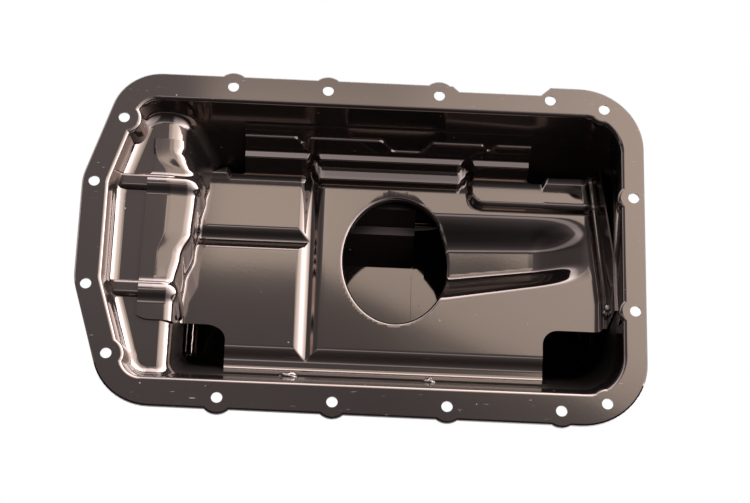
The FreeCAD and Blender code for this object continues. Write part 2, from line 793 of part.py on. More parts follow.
def drain_plug():
    """Drain plug with a round collar and a six-sided head."""
    seat = drain_face_x() + pan_sheet + washer_thickness
    centre = Vector(seat, drain_y, -drain_depth)
    shank_length = seat - drain_face_x() + nut_length - plug_reach / 2
    shank = Part.makeCylinder(plug_radius, shank_length, centre - ALONG_X * shank_length, ALONG_X)
    collar = Part.makeCylinder(plug_collar_radius, plug_collar_height, centre, ALONG_X)
    corner_reach = plug_head_across / math.sqrt(3)
    corners = []
    for i in range(6):
        across, along = turned(60 * i)
        corners.append(centre + Vector(plug_collar_height, corner_reach * across, corner_reach * along))
    head = prism(corners, [0] * 6, ALONG_X * plug_head_height)
    dome_length = plug_head_height + plug_chamfer
    dome_start = centre + ALONG_X * (plug_collar_height - plug_chamfer)
    dome_radii = (corner_reach + plug_head_height, corner_reach - plug_chamfer)
    dome = Part.makeCone(*dome_radii, dome_length, dome_start, ALONG_X)
    return shank.fuse([collar, head.common(dome)]).removeSplitter()


def main():
    """Write each piece to a file of its own."""
    os.makedirs("parts", exist_ok=True)
    pieces = {
        "pan_shell": pan_shell(),
        "baffle_plate": baffle_plate(),
        "drain_nut": drain_nut(),
        "drain_washer": drain_washer(),
        "drain_plug": drain_plug(),
    }
    middle_x = (flange_right - flange_left) / 2
    middle_y = (front_row_y + back_row_y) / 2
    to_base = Vector(-middle_x, -middle_y, pan_depth + pan_sheet)
    for name, shape in pieces.items():
        shape.translate(to_base)
        shape.exportStep("parts/" + name + ".step")
        print(name, shape.isValid(), len(shape.Solids), round(shape.Volume))


main()
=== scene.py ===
import math

import bpy
from bpy.props import FloatProperty, FloatVectorProperty, PointerProperty
from mathutils import Matrix, Vector


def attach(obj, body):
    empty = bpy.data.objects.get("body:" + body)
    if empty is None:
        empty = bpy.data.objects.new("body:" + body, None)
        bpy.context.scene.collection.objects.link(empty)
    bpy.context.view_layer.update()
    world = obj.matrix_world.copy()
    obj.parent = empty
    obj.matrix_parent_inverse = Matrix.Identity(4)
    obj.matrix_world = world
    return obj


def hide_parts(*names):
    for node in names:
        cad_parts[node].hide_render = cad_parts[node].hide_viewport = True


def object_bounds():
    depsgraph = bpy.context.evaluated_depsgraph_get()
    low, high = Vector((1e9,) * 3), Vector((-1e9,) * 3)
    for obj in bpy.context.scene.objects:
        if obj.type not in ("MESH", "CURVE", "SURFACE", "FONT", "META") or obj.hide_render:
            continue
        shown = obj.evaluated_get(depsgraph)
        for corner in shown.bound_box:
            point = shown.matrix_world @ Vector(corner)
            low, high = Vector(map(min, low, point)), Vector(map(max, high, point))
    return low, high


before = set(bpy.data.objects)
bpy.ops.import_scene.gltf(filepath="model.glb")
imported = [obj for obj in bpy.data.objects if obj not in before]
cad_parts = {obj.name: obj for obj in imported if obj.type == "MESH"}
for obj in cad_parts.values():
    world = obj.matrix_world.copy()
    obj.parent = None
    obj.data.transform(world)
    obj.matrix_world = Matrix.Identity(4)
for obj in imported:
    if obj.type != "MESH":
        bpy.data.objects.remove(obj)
cad_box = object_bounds()

bl_info = {
    "name": "Engine Oil Pan",
    "version": (1, 0, 0),
    "blender": (4, 5, 0),
    "location": "View3D > Sidebar > Oil Pan",
    "description": "Dresses a pressed oil pan with its baffle and drain plug",
    "category": "Object",
}

MM = 0.001

# Camera, fitted to the bolt holes and the flange's corners
SENSOR_WIDTH = 36
LENS = 105.6
CAMERA_AT = (-0.0362, -0.6277, 1.6877)
CAMERA_RIGHT = (0.99875, 0.02847, 0.04117)
CAMERA_UP = (-0.0418, 0.9268, 0.37321)
CAMERA_BACK = (-0.02753, -0.37446, 0.92683)

# Paint. Sizes are in metres, and a noise's scale is its number of cells in a metre.
PAINT_METAL = 0.94
GLOSS_PATCHES = 14.0  # patches about 70 mm wide
PEEL_WAVES = 380.0  # waves about 2.6 mm wide
PEEL_STRENGTH = 0.01
PEEL_DEPTH = 0.0002
SPECK_CELLS = 170.0  # a cell each 6 mm with specks up to 1.6 mm wide, coarser than dust so that they show
SPECK_FADE = {"From Min": 0.14, "From Max": 0.08}
SPECK_PICK = {"From Min": 0.87, "From Max": 0.9}
DUST_SHARE = 0.6
DUST_COLOUR = "a39d95"
RUB_CELLS = (110, 700, 1)  # rubs about 9 mm long and 1.4 mm wide
RUB_TURN = 0.6
RUB_PICK = {"From Min": 0.7, "From Max": 0.8}
GASKET_FACE = 0.1488  # just under its level
# Between these heights on the pan's walls the paint's colour is darkened as painted shade, and the paint is
# duller
WALL_TOP_FADE = {"From Min": 0.128, "From Max": 0.112}
WALL_FOOT_FADE = {"From Min": 0.008, "From Max": 0.03}
WALL_PAINTED_SHADE = 0.35
WALL_DULLNESS = 0.3
WELD_ROUGHNESS = 0.16

# Turned metal, in the same units
CLOUD_CELLS = 160.0  # clouds about 6 mm wide
LATHE_RINGS = 900.0  # rings about 0.35 mm apart
LATHE_WOBBLE = 0.6
LATHE_STRENGTH = 0.08
LATHE_DEPTH = 0.0002

# Baffle, in millimetres: x and y from the rim's middle, z from its gasket face. The shift leads to the frame.
SHIFT = (0.4, 0.5, 149.5)
PLATE = -80.0
SHELF = -18.5

# Scales of the two sections: where each of their straights and arcs ends
COLUMN_BREAKS = (-216, -210, -207, -202, -192, -142, -128, 186, 192, 199, 202, 205, 206, 240)
ROW_BREAKS = (-114, -80, -72, 72, 84, 87, 90, 95, 96, 102, 105, 109, 110, 118, 120, 121, 122, 134)
PLATE_COLUMNS = (-128, 186)
PLATE_ROW = 72
# Between these, a column is an x and a row is a y
PLAIN_COLUMNS = (-100, 172)
PLAIN_ROW = 66
# Past these columns the crosswise section stays as it is
CROSSWISE_ENDS = (-128, 176)
# Height over the plate within which the relief fades out
RELIEF_FADE = 12

# Places and steps of the mesh along the two scales
COLUMN_STEPS = (
    (-216, 1.2), (-210, 0.6), (-207, 0.5), (-202, 0.7), (-192, 2.0), (-142, 1.2), (-128, 2.2), (-56, 1.6),
    (-52, 0.8), (-31, 2.0), (72, 1.6), (80, 0.8), (100, 2.0), (140, 1.5), (186, 1.0), (206, 3.4), (240, 3.4),
)
ROW_STEPS = (
    (-114, 2.6), (-80, 1.1), (-72, 0.8), (-58, 1.7), (-44, 2.0), (-18, 1.6), (10, 1.6), (23, 0.8),
    (43, 1.0), (57, 1.4), (61, 0.8), (72, 1.0), (87, 0.75), (90, 1.25), (95, 0.5), (96, 1.5),
    (102, 0.75), (105, 1.3), (109, 0.5), (110, 1.6), (118, 0.5), (122, 2.0), (134, 2.0),
)
# Column, row and corner radius
BAFFLE_OUTLINE = (
    (-216.5, -61.5, 6), (-192, -61.5, 8), (-146, -41.5, 4), (-102.5, -41.5, 12), (-102.5, -300, 0),
    (145, -300, 0), (145, -35, 12), (400, -35, 0), (400, 84, 0), (131, 80, 6), (131, 400, 0),
    (-94.5, 400, 0), (-94.5, 80, 2.5), (-116, 80, 8), (-134, 70.5, 8), (-160, 71.2, 20), (-216.5, 72.6, 3),
)

# Slope: y, x of its top, x of its foot, radius of the roll under the brow, drop and run of the brow
SLOPE_STATIONS = (
    (-60, -140.0, -139.5, 9, 0.15, 8), (-30, -140.3, -139.8, 9, 0.3, 8), (-8, -136.4, -138.0, 9, 1.5, 10),
    (12, -129.2, -132.0, 9, 2.4, 12), (42, -127.8, -128.8, 9, 2.4, 13), (60, -128.6, -125.8, 12, 1.8, 12),
    (72, -134.8, -123.8, 18, 0.3, 8), (79, -138.4, -124.6, 17.5, 0.15, 8), (130, -138.6, -110.5, 23, 0.15, 8),
)
BROW_ROUND = 30
SLOPE_FOOT_ROUND = 3

# Tab: its edge, and the jog and slant in it
TAB_EDGE = -162.5
TAB_JOG = 4.5
TAB_JOG_Y = 62
TAB_JOG_RUN = 8
TAB_SLANT = 0.012

# Right upstand: its foot, the ledge a little way up and its sloping rim
RIGHT_FOOT = 182.0
RIGHT_FOOT_Y = 70
RIGHT_SLANT = 0.105
RIGHT_FOOT_LIMIT = 190.5
RIGHT_FOOT_ROUND = 6
RIGHT_LEDGE_Z = -71
RIGHT_LEDGE_FROM = 0.8
RIGHT_LEDGE_TO = 3.6
RIGHT_LEDGE_ROUNDS = (1.3, 0.6)
RIGHT_RIM_OUT = 7
RIGHT_RIM_LIMIT = 194.8
RIGHT_RIM_Z = -30
RIGHT_RIM_Y = -35
RIGHT_RIM_FALL = 0.18

# Front upstand, with its foot and its rim
FRONT_WALL_Y = 113.2
FRONT_SLANT = 0.44
FRONT_GAP = 1.64
FRONT_RIM_DEPTH = 46
FRONT_PLATE_DEPTH = 80
FRONT_FOOT_ROUND = 4.5

# Back upstand and its three ledges. A hair parts corners that would else fall together.
BACK_WALL_Y = 111.757
BACK_SLANT = 0.24
BACK_RIM_Z = -24
HAIR = 0.1
LEDGES = (-112, 147)
LEDGES_SOFT = 4
LEDGE_ONE_TREAD = 1.6
LEDGE_ONE_Z = -36.6
LEDGE_ONE_ROUNDS = (0.8, 0.4)
RISER_LEAN = 0.5
LEDGE_TWO_TREAD = 5.0
LEDGE_TWO_WALL_Z = -56
LEDGE_TWO_FRONT_Z = -56.4
LEDGE_TWO_BACK_Z = -55.9
LEDGE_TWO_SPANS = ((-112, -42.6), (-37.4, 79.4), (85.2, 147))
LEDGE_TWO_SOFT = 3
LEDGE_THREE_TREAD = 10
LEDGE_THREE_WALL_Z = -70
LEDGE_THREE_FRONT_Z = -70.6
LEDGE_THREE_BACK_Z = -69.7
LEDGE_THREE_SPAN = (-41.5, 84.5)
LEDGE_THREE_SOFT = 5
TREAD_BACK_ROUND = 0.5
UPPER_RISER_RETURN = 3.2
LOWER_RISER_RETURN = 1.6
BACK_FOOT_ROUND = 18
BACK_FOOT_TIGHTER = 14.5
# Dips in ledge one: x, half width, run of the flank, softness, depth
LEDGE_DIPS = ((33, 19.5, 8, 0.2, 12), (-49, 5, 3.3, 0.3, 6), (98, 5, 3.3, 0.3, 6))

# Trough. Of two values, the second is the change along it, from the suction hole to its end.
TROUGH_START = 40
TROUGH_LENGTH = 137
TROUGH_END = 178
TROUGH_END_RUN = 30
TROUGH_END_SOFT = 0.42
TROUGH_BACK_Y = (54, 2)
TROUGH_BACK_RUN = 15
TROUGH_BACK_SOFT = 0.45
TROUGH_FRONT_Y = (-15.5, 24)
TROUGH_FRONT_RUN = (20, -7)
TROUGH_FRONT_SOFT = 0.2
TROUGH_RISE = 6
TROUGH_TILT = 0.005
TROUGH_TILT_Y = 20

# Grooves
GROOVE_WIDTH = 12
GROOVE_SPREAD = 1.2
GROOVE_FLANK = 5.6
GROOVE_SOFT = 0.48
GROOVE_X = -40.2
CROSS_GROOVE_Y = 33
CROSS_GROOVE_END = -38
CROSS_GROOVE_FADE = 4
FRONT_STEP_Y = -75.2
FRONT_STEP_WIDTH = 27

# Raised corner panel
PANEL_LEFT = 84
PANEL_FRONT = 65
PANEL_CORNER = 14
PANEL_RISE = 5
PANEL_FLANK = 3
PANEL_SOFT = 0.3

# Beads over the tab and the slope
BEAD_ROWS = (50.0, -38.0)
BEAD_HALF_WIDTH = 7.4
BEAD_FLANK = 4.8
BEAD_SOFT = 0.42
BEAD_FOOT_Z = -72
BEAD_FADE = 14

# Suction hole
HOLE_MIDDLE = (28.2, 18.8)
HOLE_HALF = (41.6, 52.5)
LIP_STEPS = 6
LIP_UNDER_PLATE = 5
LIP_LEAST = 1.0

SMOOTH_ANGLE = 50

# Welds: middle, half sizes, turn. The lumps are sized on a ball of radius 1.
WELD_BEADS = (
    ((-52.0, -94.6, -44.0), (8.0, 4.2, 3.6), 0.1), ((54.0, -95.0, -42.5), (5.4, 3.8, 3.4), -0.1),
    ((194.4, -21.0, -68.5), (3.4, 7.0, 3.2), 0.15),
)
LUMP_SIZE = 0.9
LUMP_HEIGHT = 0.7

FLOOR_SIZE = 8
FLOOR_TONE = 0.9

# Light. Each ramp has levels by degrees from overhead, towards the back, towards the right side, or on a
# slant that adds a part of the way right to the way back.
SLANT_SHARE = 0.4
LIGHT_RAMPS = {
    "room": ("back", (
        (-90, 0.02), (-40, 0.04), (-12, 0.15), (4, 0.35), (7, 1.5), (13.5, 1.5), (15.6, 0.27), (18, 0.2),
        (20.5, 0.3), (27, 0.42), (36, 1.0), (46, 4.5), (74, 6.5), (83, 2.5), (92, 1.2), (120, 0.8),
        (150, 0.05))),
    "room_side": ("side", ((-70, 0.3), (-14, 0.85), (-5, 1.4), (-1, 1.2), (2, 1.0))),
    "window": ("slant", ((21.3, 0.0), (21.6, 1.0))),
    "window_side": ("side", ((-3.7, 0.0), (-3.1, 1.1), (-2.7, 1.35), (0, 1.3), (4, 0.85), (10, 0.9))),
    "window_top": ("back", ((23.8, 1.45), (26.4, 0.55), (34, 0.9), (60, 1.0))),
    "growth": ("side", ((-4, 0.0), (0, 0.06), (2, 0.15), (3.4, 0.4), (9, 0.65))),
    "growth_back": ("back", ((18.4, 0.0), (19.4, 0.7), (24, 1.0), (26, 2.0))),
    "right": ("side", (
        (2, 0.0), (9.5, 0.2), (12, 0.8), (17, 1.9), (28, 2.3), (38, 3.0), (60, 6.5), (70, 9.0), (86, 9.0),
        (95, 2.0), (105, 0.0))),
    "right_fade": ("back", ((-60, 0.0), (-10, 1.0))),
}
# Colour of each glow and the two products of ramps that it sums
GLOWS = (
    ("f1f3ff", (("room", "room_side"), ("right", "right_fade"))),
    ("fffcf4", (("window", "window_side", "window_top"), ("growth", "growth_back"))),
)


def linear(hex_colour):
    """Linear RGBA of an sRGB colour written as six hex digits."""
    parts = [int(hex_colour[i:i + 2], 16) / 255 for i in (0, 2, 4)]
    return [part / 12.92 if part <= 0.04045 else ((part + 0.055) / 1.055) ** 2.4 for part in parts] + [1.0]


def add_node(tree, kind, settings=None, **links):
    """Adds a node, gives its attributes or sockets their values, and links its sockets to others."""
    node = tree.nodes.new(kind)
    for name, value in (settings or {}).items():
        if isinstance(name, int) or name in node.inputs:
            node.inputs[name].default_value = value
        else:
            setattr(node, name, value)
    for name, source in links.items():
        socket = int(name[1:]) if name[0] == "i" and name[1:].isdigit() else name.replace("_", " ")
        tree.links.new(source, node.inputs[socket])
    return node


def empty_tree(owner):
    """Turns nodes on for a material or world and clears them."""
    owner.use_nodes = True
    owner.node_tree.nodes.clear()
    return owner.node_tree


def baked_paint(name, colour, roughness, with_wall_shade=False):
    """Thin stoved paint on pressed steel: a dark mirror with slight peel and dust specks."""
    material = bpy.data.materials.new(name)
    tree = empty_tree(material)
    place = add_node(tree, "ShaderNodeTexCoord").outputs["Object"]
    # Uneven gloss keeps the large faces from looking like one mirror
    drift = add_node(tree, "ShaderNodeTexNoise", {"Scale": GLOSS_PATCHES, "Detail": 3.0}, Vector=place)
    rough = add_node(tree, "ShaderNodeMapRange", {"To Min": roughness * 0.8, "To Max": roughness * 1.25},
                     Value=drift.outputs["Fac"])
    # Peel makes the edges of reflections waver
    peel = add_node(tree, "ShaderNodeTexNoise", {"Scale": PEEL_WAVES, "Detail": 2.0}, Vector=place)
    bump = add_node(tree, "ShaderNodeBump", {"Strength": PEEL_STRENGTH, "Distance": PEEL_DEPTH},
                    Height=peel.outputs["Fac"])
    paint = add_node(tree, "ShaderNodeBsdfPrincipled", {"Base Color": colour, "Metallic": PAINT_METAL},
                     Roughness=rough.outputs["Result"], Normal=bump.outputs["Normal"])
    # Specks of dust in a few of the cells
    cells = add_node(tree, "ShaderNodeTexVoronoi", {"Scale": SPECK_CELLS}, Vector=place)
    near = add_node(tree, "ShaderNodeMapRange", SPECK_FADE, Value=cells.outputs["Distance"])
    few = add_node(tree, "ShaderNodeMapRange", SPECK_PICK, Value=cells.outputs["Color"])
    marks = add_node(tree, "ShaderNodeMath", {"operation": "MULTIPLY"}, i0=near.outputs[0], i1=few.outputs[0])
    # On the pan, painted shade darkens the walls, whose paint is also duller, and rubs mark the gasket face
    if with_wall_shade:
        marks = shade_walls_and_rub_pan(tree, place, colour, paint, rough, marks)
    share = add_node(tree, "ShaderNodeMath", {"operation": "MULTIPLY", 1: DUST_SHARE}, i0=marks.outputs[0])
    dust = add_node(tree, "ShaderNodeBsdfDiffuse", {"Color": linear(DUST_COLOUR)})
    mix = add_node(tree, "ShaderNodeMixShader", {}, Fac=share.outputs[0], i1=paint.outputs[0],
                   i2=dust.outputs[0])
    add_node(tree, "ShaderNodeOutputMaterial", Surface=mix.outputs[0])
    return material


def shade_walls_and_rub_pan(tree, place, colour, paint, rough, specks):
    """Paints shade down the pan's walls by darkening the paint's colour, dulls the paint there, and adds rubs
    on its gasket face to the specks.
    """
    height = add_node(tree, "ShaderNodeSeparateXYZ", {}, Vector=place)
    under_lip = add_node(tree, "ShaderNodeMapRange", WALL_TOP_FADE, Value=height.outputs["Z"])
    off_floor = add_node(tree, "ShaderNodeMapRange", WALL_FOOT_FADE, Value=height.outputs["Z"])
    walls = add_node(tree, "ShaderNodeMath", {"operation": "MULTIPLY"}, i0=under_lip.outputs[0],
                     i1=off_floor.outputs[0])
    dull = add_node(tree, "ShaderNodeMath", {"operation": "MULTIPLY_ADD", 1: WALL_DULLNESS},
                    i0=walls.outputs[0], i2=rough.outputs["Result"])
    tree.links.new(dull.outputs[0], paint.inputs["Roughness"])
    # Painted shade: the walls' colour is darkened where shade falls inside the pan
    dark = [part * WALL_PAINTED_SHADE for part in colour[:3]] + [1.0]
    tone = add_node(tree, "ShaderNodeMix", {"data_type": "RGBA", 6: colour, 7: dark}, i0=walls.outputs[0])
    tree.links.new(tone.outputs[2], paint.inputs["Base Color"])
    run = add_node(tree, "ShaderNodeMapping", {"Rotation": (0, 0, RUB_TURN), "Scale": RUB_CELLS},
                   Vector=place)
    hairs = add_node(tree, "ShaderNodeTexNoise", {"Scale": 1.0, "Detail": 3.0}, Vector=run.outputs[0])
    fine = add_node(tree, "ShaderNodeMapRange", RUB_PICK, Value=hairs.outputs["Fac"])
    face = add_node(tree, "ShaderNodeMath", {"operation": "GREATER_THAN", 1: GASKET_FACE},
                    i0=height.outputs["Z"])
    rubs = add_node(tree, "ShaderNodeMath", {"operation": "MULTIPLY"}, i0=fine.outputs[0], i1=face.outputs[0])
    return add_node(tree, "ShaderNodeMath", {"operation": "MAXIMUM"}, i0=specks.outputs[0],
                    i1=rubs.outputs[0])


def turned_metal(name, colour, roughness):
    """Turned metal: fine rings from the lathe and a cloudy surface, which break up its highlights."""
    material = bpy.data.materials.new(name)
    tree = empty_tree(material)
    place = add_node(tree, "ShaderNodeTexCoord").outputs["Object"]
    cloud = add_node(tree, "ShaderNodeTexNoise", {"Scale": CLOUD_CELLS, "Detail": 4.0}, Vector=place)
    waves = {"bands_direction": "X", "Scale": LATHE_RINGS, "Distortion": LATHE_WOBBLE}
    rings = add_node(tree, "ShaderNodeTexWave", waves, Vector=place)
    bump = add_node(tree, "ShaderNodeBump", {"Strength": LATHE_STRENGTH, "Distance": LATHE_DEPTH},
                    Height=rings.outputs["Fac"])
    rough = add_node(tree, "ShaderNodeMapRange", {"To Min": roughness * 0.7, "To Max": roughness * 1.4},
                     Value=cloud.outputs["Fac"])
    shader = add_node(tree, "ShaderNodeBsdfPrincipled", {"Base Color": linear(colour), "Metallic": 1.0},
                      Roughness=rough.outputs["Result"], Normal=bump.outputs["Normal"])
    add_node(tree, "ShaderNodeOutputMaterial", Surface=shader.outputs["BSDF"])
    return material


def dress(node, material):
    """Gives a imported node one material."""
    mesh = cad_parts[node].data
    mesh.materials.clear()
    mesh.materials.append(material)


def framed(point):
    """Point of the frame, in metres, from one in the baffle's millimetres."""
    return [(value + shift) * MM for value, shift in zip(point, SHIFT)]


def smooth(share):
    """Soft step from 0 to 1."""
    share = min(max(share, 0.0), 1.0)
    return share * share * (3 - 2 * share)


def eased(share, soft):
    """Ramp from 0 to 1 whose two ends are rounded over a softness."""
    if share <= -soft:
        return 0.0
    if share < soft:
        return (share + soft) ** 2 / (4 * soft)
    if share <= 1 - soft:
        return share
    if share < 1 + soft:
        return 1 - (1 + soft - share) ** 2 / (4 * soft)
    return 1.0


def arc_between(first, last):
    """Angle of one arm about an arc's centre, and the turn from it to another."""
    begin = math.atan2(first.y, first.x)
    return begin, (math.atan2(last.y, last.x) - begin + math.pi) % (2 * math.pi) - math.pi


def bent_pieces(corners, radii):
    """Straights and arcs of a bent sheet's section through the corners."""
    pieces = []
    start = Vector(corners[0])
    for i, radius in enumerate(radii):
        corner = Vector(corners[i + 1])
        before = Vector(corners[i]) - corner
        after = Vector(corners[i + 2]) - corner
        # Just under half of the shorter side, so that neighbouring arcs can't meet
        room = 0.48 * min(before.length, after.length)
        before.normalize()
        after.normalize()
        half = before.angle(after) / 2
        reach = min(radius / math.tan(half), room)
        radius = reach * math.tan(half)
        pieces.append((start, corner + before * reach, None))
        start = corner + after * reach
        centre = corner + (before + after).normalized() * (radius / math.sin(half))
        pieces.append((corner + before * reach, start, centre))
    pieces.append((start, Vector(corners[-1]), None))
    return pieces


def along(pieces, breaks, value):
    """Point and normal of a bent section at a place on its scale of breaks."""
    k = 0
    while k < len(pieces) - 1 and value > breaks[k + 1]:
        k += 1
    start, end, centre = pieces[k]
    share = (value - breaks[k]) / (breaks[k + 1] - breaks[k])
    if centre is None:
        run = (end - start).normalized()
        return start.lerp(end, share), Vector((-run.y, run.x))
    first = start - centre
    begin, turn = arc_between(first, end - centre)
    arm = Vector((math.cos(begin + turn * share), math.sin(begin + turn * share)))
    return centre + arm * first.length, arm * (-1 if turn > 0 else 1)


def along_stations(place, stations):
    """Values at a place between (place, value, ...) stations, joined softly."""
    place = min(max(place, stations[0][0]), stations[-1][0])
    for one, two in zip(stations, stations[1:]):
        if place <= two[0]:
            share = smooth((place - one[0]) / (two[0] - one[0]))
            return [a + (b - a) * share for a, b in zip(one[1:], two[1:])]


def lengthwise(y):
    """Section of the baffle along the pan: tab, brow, roll, slope, foot, plate and right upstand."""
    top, foot, roll, drop, run = along_stations(y, SLOPE_STATIONS)
    edge = TAB_EDGE - TAB_JOG * smooth((TAB_JOG_Y - y) / TAB_JOG_RUN) - (TAB_JOG_Y - y) * TAB_SLANT
    right = min(RIGHT_FOOT - (y - RIGHT_FOOT_Y) * RIGHT_SLANT, RIGHT_FOOT_LIMIT)
    rim = RIGHT_RIM_Z - RIGHT_RIM_FALL * (y - RIGHT_RIM_Y)
    corners = [(edge, SHELF), (top - roll - run, SHELF), (top, SHELF - drop), (foot, PLATE), (right, PLATE)]
    corners += [(right + RIGHT_LEDGE_FROM, RIGHT_LEDGE_Z), (right + RIGHT_LEDGE_TO, RIGHT_LEDGE_Z)]
    corners += [(min(right + RIGHT_RIM_OUT, RIGHT_RIM_LIMIT), rim)]
    return bent_pieces(corners, [BROW_ROUND, roll, SLOPE_FOOT_ROUND, RIGHT_FOOT_ROUND, *RIGHT_LEDGE_ROUNDS])


def span(x, low, high, soft):
    """1 between two ends, falling softly to 0 outside them."""
    return smooth((x - low) / soft) * smooth((high - x) / soft)


def front_y(depth):
    """Place of the front upstand at a depth."""
    return -(FRONT_WALL_Y - FRONT_SLANT * depth - FRONT_GAP)


def back_y(z):
    """Place of the back upstand at a level, where it has no ledge."""
    return BACK_WALL_Y + BACK_SLANT * z


def crosswise(x, sizes):
    """Section of the baffle across the pan: front upstand, plate and the ledges up the back wall."""
    all_along = span(x, *LEDGES, LEDGES_SOFT)
    middle_part = span(x, *LEDGE_THREE_SPAN, LEDGE_THREE_SOFT)
    # How far each corner stands in from the back wall, from the top ledge down
    one = HAIR + LEDGE_ONE_TREAD * all_along
    second = HAIR + RISER_LEAN * all_along
    two = second + HAIR + LEDGE_TWO_TREAD * sum(span(x, *ends, LEDGE_TWO_SOFT) for ends in LEDGE_TWO_SPANS)
    third = two - UPPER_RISER_RETURN * middle_part
    three = third + HAIR + LEDGE_THREE_TREAD * middle_part
    first_z = LEDGE_ONE_Z
    for middle, half, run, soft, depth in LEDGE_DIPS:
        first_z -= depth * eased((half - abs(x - middle)) / run, soft)
    corners = [(front_y(FRONT_RIM_DEPTH), -FRONT_RIM_DEPTH), (front_y(FRONT_PLATE_DEPTH), PLATE)]
    corners += [(back_y(PLATE) - three + LOWER_RISER_RETURN * middle_part, PLATE)]
    corners += [(back_y(LEDGE_THREE_WALL_Z) - three, LEDGE_THREE_FRONT_Z)]
    corners += [(back_y(LEDGE_THREE_WALL_Z) - third, LEDGE_THREE_BACK_Z)]
    corners += [(back_y(LEDGE_TWO_WALL_Z) - two, LEDGE_TWO_FRONT_Z)]
    corners += [(back_y(LEDGE_TWO_WALL_Z) - second, LEDGE_TWO_BACK_Z)]
    corners += [(back_y(first_z) - one, first_z), (back_y(first_z), first_z)]
    corners += [(back_y(BACK_RIM_Z), BACK_RIM_Z)]
    nose = sizes.nose_radius / MM
    radii = [FRONT_FOOT_ROUND, BACK_FOOT_ROUND - BACK_FOOT_TIGHTER * middle_part]
    radii += [nose, TREAD_BACK_ROUND, nose, TREAD_BACK_ROUND, *LEDGE_ONE_ROUNDS]
    return bent_pieces(corners, radii)


def trough_depth(x, y, sizes):
    """Depth of the trough at a plan point."""
    if x < TROUGH_START:
        return 0.0
    share = (x - TROUGH_START) / TROUGH_LENGTH
    back = eased((TROUGH_BACK_Y[0] + TROUGH_BACK_Y[1] * share - y) / TROUGH_BACK_RUN, TROUGH_BACK_SOFT)
    end = eased((TROUGH_END - x) / TROUGH_END_RUN, TROUGH_END_SOFT)
    front_run = TROUGH_FRONT_RUN[0] + TROUGH_FRONT_RUN[1] * share
    front = eased((y - TROUGH_FRONT_Y[0] - TROUGH_FRONT_Y[1] * share) / front_run, TROUGH_FRONT_SOFT)
    floor = sizes.trough_depth / MM - TROUGH_RISE * share - TROUGH_TILT * (y - TROUGH_TILT_Y)
    return floor * back * end * front


def pressed(distance, width):
    """Share of its full depth that a groove of a width has at a distance from its middle."""
    return eased((width / 2 + GROOVE_SPREAD - abs(distance)) / GROOVE_FLANK, GROOVE_SOFT)


def relief(x, y, sizes):
    """Height pressed into the plate at a plan point: grooves, trough and corner panel."""
    cross = pressed(y - CROSS_GROOVE_Y, GROOVE_WIDTH) * smooth((CROSS_GROOVE_END - x) / CROSS_GROOVE_FADE)
    grooves = max(pressed(x - GROOVE_X, GROOVE_WIDTH), cross, pressed(y - FRONT_STEP_Y, FRONT_STEP_WIDTH))
    low = max(grooves * sizes.groove_depth / MM, trough_depth(x, y, sizes))
    right = x - PANEL_LEFT
    inside = y - PANEL_FRONT
    edge = min(right, inside)
    if right < PANEL_CORNER and inside < PANEL_CORNER:
        edge = PANEL_CORNER - math.hypot(PANEL_CORNER - right, PANEL_CORNER - inside)
    return PANEL_RISE * eased(edge / PANEL_FLANK, PANEL_SOFT) - low


def bead(y, z, sizes):
    """Height of the two beads that cross the tab and run down the slope."""
    height = 0.0
    for middle in BEAD_ROWS:
        across = eased((BEAD_HALF_WIDTH - abs(y - middle)) / BEAD_FLANK, BEAD_SOFT)
        height = max(height, across * smooth((z - BEAD_FOOT_Z) / BEAD_FADE))
    return height * sizes.bead_height / MM


def baffle_point(column, row, sizes):
    """Point of the baffle's upper face, in millimetres, at a place on the two scales."""
    section = crosswise(min(max(column, CROSSWISE_ENDS[0]), CROSSWISE_ENDS[1]), sizes)
    y, wall_z = along(section, ROW_BREAKS, row)[0]
    if abs(row) <= PLAIN_ROW:
        y, wall_z = row, PLATE
    elif abs(row) < PLATE_ROW:
        side = 1 if row > 0 else -1
        plain = side * PLAIN_ROW
        end = along(section, ROW_BREAKS, side * PLATE_ROW)[0].x
        y, wall_z = plain + (end - plain) * (abs(row) - PLAIN_ROW) / (PLATE_ROW - PLAIN_ROW), PLATE
    section = lengthwise(y)
    (x, slope_z), normal = along(section, COLUMN_BREAKS, column)
    left, right = PLAIN_COLUMNS
    if left <= column <= right:
        x, slope_z = column, PLATE
    elif PLATE_COLUMNS[0] < column < left:
        foot = along(section, COLUMN_BREAKS, PLATE_COLUMNS[0])[0].x
        x, slope_z = foot + (left - foot) * (column - PLATE_COLUMNS[0]) / (left - PLATE_COLUMNS[0]), PLATE
    elif right < column < PLATE_COLUMNS[1]:
        foot = along(section, COLUMN_BREAKS, PLATE_COLUMNS[1])[0].x
        x, slope_z = right + (foot - right) * (column - right) / (PLATE_COLUMNS[1] - right), PLATE
    raised = bead(y, slope_z, sizes) if column < left else 0.0
    height = slope_z + wall_z - PLATE
    on_plate = 1 - smooth((height - PLATE) / RELIEF_FADE)
    if on_plate > 0:
        height += relief(x, y, sizes) * on_plate
    return Vector((x + raised * normal.x, y, height + raised * normal.y))


def graded(stops):
    """Places from a list of (start, step), the last one being the end."""
    places = []
    for (start, step), (end, _) in zip(stops, stops[1:]):
        count = max(1, round((end - start) / step))
        places += [start + (end - start) * i / count for i in range(count)]
    return places + [stops[-1][0]]


